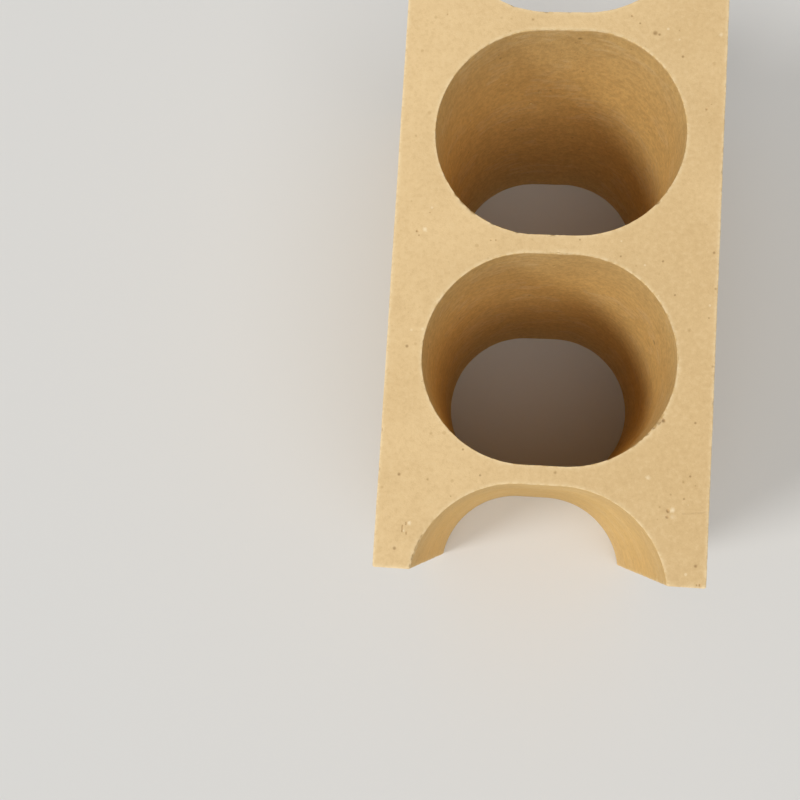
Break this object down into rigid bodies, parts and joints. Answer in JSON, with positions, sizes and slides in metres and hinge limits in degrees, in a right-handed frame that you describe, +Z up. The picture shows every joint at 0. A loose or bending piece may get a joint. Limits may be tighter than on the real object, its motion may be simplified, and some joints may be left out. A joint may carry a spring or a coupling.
{
  "type": "hollow fire brick",
  "caption": "Pale fireclay block with round-ended flues through its height and a part flue open at each end.",
  "frame": {"origin": "middle of the lower bed, which the brick stands on with its flues upright", "axes": "+X across the brick, +Y along the row of flues, +Z up along the flues"},
  "size_m": [0.23, 0.47, 0.35],
  "materials": {
    "fireclay": "matte, sandy, unglazed, with fine iron specks"
  },
  "bodies": {
    "root": {"fire_brick": "fireclay"}
  },
  "joints": []
}
